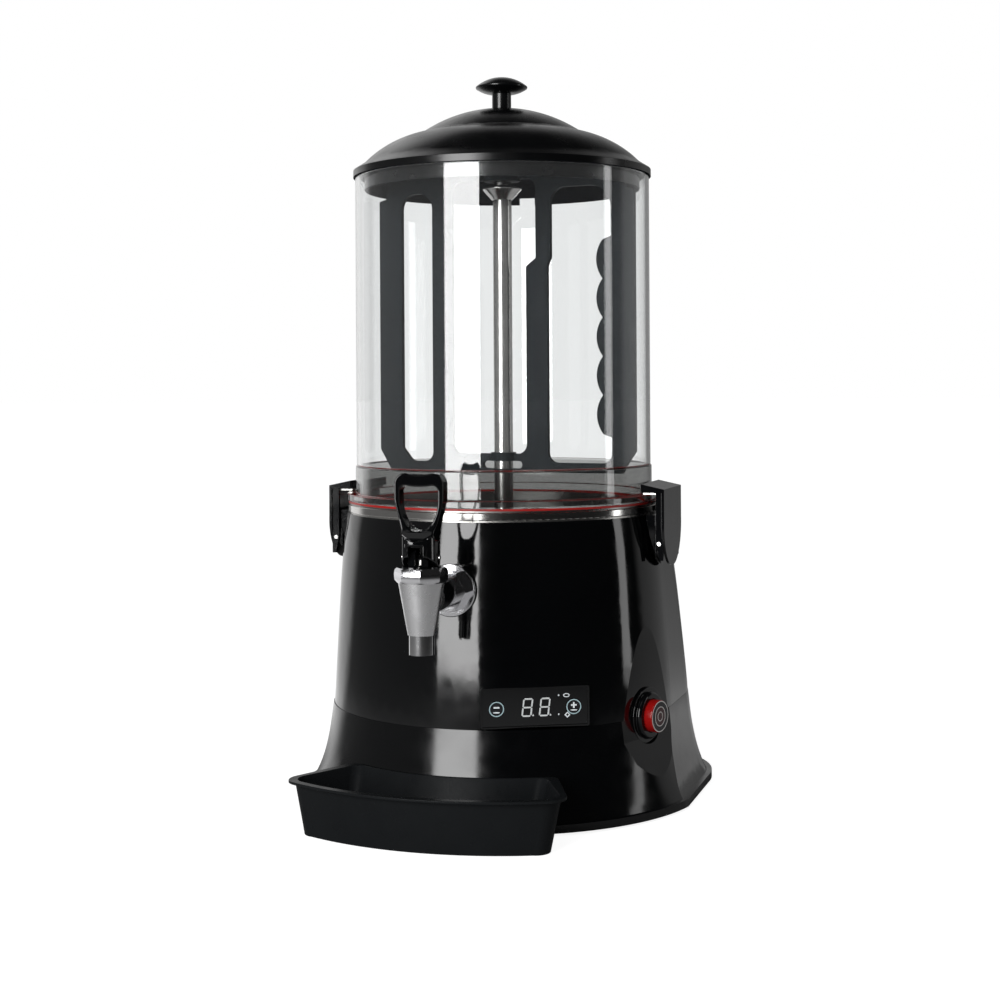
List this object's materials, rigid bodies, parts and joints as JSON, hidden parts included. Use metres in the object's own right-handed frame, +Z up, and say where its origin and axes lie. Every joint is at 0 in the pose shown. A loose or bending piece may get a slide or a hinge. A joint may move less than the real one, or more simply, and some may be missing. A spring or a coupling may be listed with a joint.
{
  "type": "hot chocolate dispenser",
  "caption": "Countertop hot chocolate dispenser with a clear jar over a heated bowl, a turning paddle, a lever tap, a display and a drip tray.",
  "frame": {"origin": "middle of the footprint, drip tray included, on the surface the machine stands on", "axes": "+Z up, -Y towards the user on the tap's side, +X to the machine's right as the user sees it"},
  "size_m": [0.317, 0.3745, 0.58],
  "materials": {
    "shell_plastic": "glossy black moulded plastic",
    "black_plastic": "satin black moulded plastic",
    "lever_plastic": "glossy black moulded plastic",
    "clear_plastic": "clear polycarbonate",
    "smoked_plastic": "glossy smoked acrylic",
    "display_face": "dark face with pale segments",
    "stainless": "brushed stainless steel",
    "chrome": "polished chrome plate",
    "red_rubber": "soft red silicone",
    "black_rubber": "black rubber",
    "red_plastic": "translucent red plastic",
    "grey_plastic": "grey plastic",
    "brass": "plain brass",
    "circuit_board": "green circuit board",
    "motor_paint": "grey painted housing"
  },
  "bodies": {
    "machine": {"upper_shell": "shell_plastic", "lower_skirt": "shell_plastic", "display_bezel": "shell_plastic", "base_plate": "black_plastic", "latch_base_left": "black_plastic", "latch_base_right": "black_plastic", "valve_cap": "black_plastic", "switch_body": "black_plastic", "switch_nut": "black_plastic", "cord_inlet": "black_plastic", "terminal_block": "black_plastic", "safety_thermostat": "black_plastic", "shaft_bushes": "black_plastic", "jar": "clear_plastic", "display_window": "smoked_plastic", "led_display": "display_face", "rim_band": "stainless", "water_tank": "stainless", "product_bowl": "stainless", "centre_tube": "stainless", "tube_collar": "stainless", "motor_bracket": "stainless", "heating_element": "stainless", "temperature_probe": "stainless", "latch_pins": "stainless", "latch_screws": "stainless", "base_screws": "stainless", "lever_pins": "stainless", "valve_spring": "stainless", "tube_nuts": "stainless", "tap_flange": "chrome", "tap_nut": "chrome", "tap_shank": "chrome", "tap_body": "chrome", "tap_bonnet": "chrome", "shank_locknut": "chrome", "jar_gasket": "red_rubber", "rubber_feet": "black_rubber", "inlet_pins": "brass", "control_board": "circuit_board", "gear_motor": "motor_paint"},
    "lid": {"lid_shell": "black_plastic", "lid_knob": "black_plastic", "knob_screw": "stainless"},
    "mixer": {"paddle": "black_plastic", "paddle_hub": "black_plastic", "drive_shaft": "stainless", "drive_coupling": "stainless", "gearbox_shaft": "stainless"},
    "lever": {"tap_lever": "lever_plastic"},
    "valve": {"valve_stem": "stainless", "seat_cup": "black_rubber"},
    "left_latch": {"latch_left": "black_plastic", "latch_hook_left": "stainless"},
    "right_latch": {"latch_right": "black_plastic", "latch_hook_right": "stainless"},
    "power": {"power_button": "red_plastic"},
    "down": {"down_button": "grey_plastic"},
    "up": {"up_button": "grey_plastic"},
    "tray": {"drip_tray": "black_plastic"}
  },
  "joints": [
    {"name": "lid_lift", "type": "slide", "parent": "machine", "child": "lid", "axis": [0, 0, 1], "range_m": [0, 0.15]},
    {"name": "mixer_spin", "type": "hinge", "parent": "machine", "child": "mixer", "pos_m": [0, 0.03275, 0.3], "axis": [0, 0, 1], "continuous": true},
    {"name": "tap_lever_pull", "type": "hinge", "parent": "machine", "child": "lever", "pos_m": [0, -0.16525, 0.207], "axis": [1, 0, 0], "range_deg": [0, 35]},
    {"name": "valve_lift", "type": "slide", "parent": "machine", "child": "valve", "axis": [0, 0, 1], "range_m": [0, 0.0046], "stiffness_N_per_m": 500, "springref_m": -0.001, "deforming": ["valve_spring"]},
    {"name": "left_latch_turn", "type": "hinge", "parent": "machine", "child": "left_latch", "pos_m": [-0.1356, 0.03275, 0.204], "axis": [0, -1, 0], "range_deg": [0, 15]},
    {"name": "right_latch_turn", "type": "hinge", "parent": "machine", "child": "right_latch", "pos_m": [0.1356, 0.03275, 0.204], "axis": [0, 1, 0], "range_deg": [0, 15]},
    {"name": "power_press", "type": "slide", "parent": "machine", "child": "power", "axis": [-0.9472, 0.3206, 0], "range_m": [0, 0.0025], "stiffness_N_per_m": 1500, "springref_m": -0.001},
    {"name": "down_press", "type": "slide", "parent": "machine", "child": "down", "axis": [-0.454, 0.891, 0], "range_m": [0, 0.0005], "stiffness_N_per_m": 2000, "springref_m": -0.0005},
    {"name": "up_press", "type": "slide", "parent": "machine", "child": "up", "axis": [-0.454, 0.891, 0], "range_m": [0, 0.0005], "stiffness_N_per_m": 2000, "springref_m": -0.0005},
    {"name": "tray_pull", "type": "slide", "parent": "machine", "child": "tray", "axis": [0, -1, 0], "range_m": [0, 0.12]}
  ],
  "couplings": [
    {"joint": "tap_lever_pull", "follows": "valve_lift", "rad_per_m": 132}
  ]
}
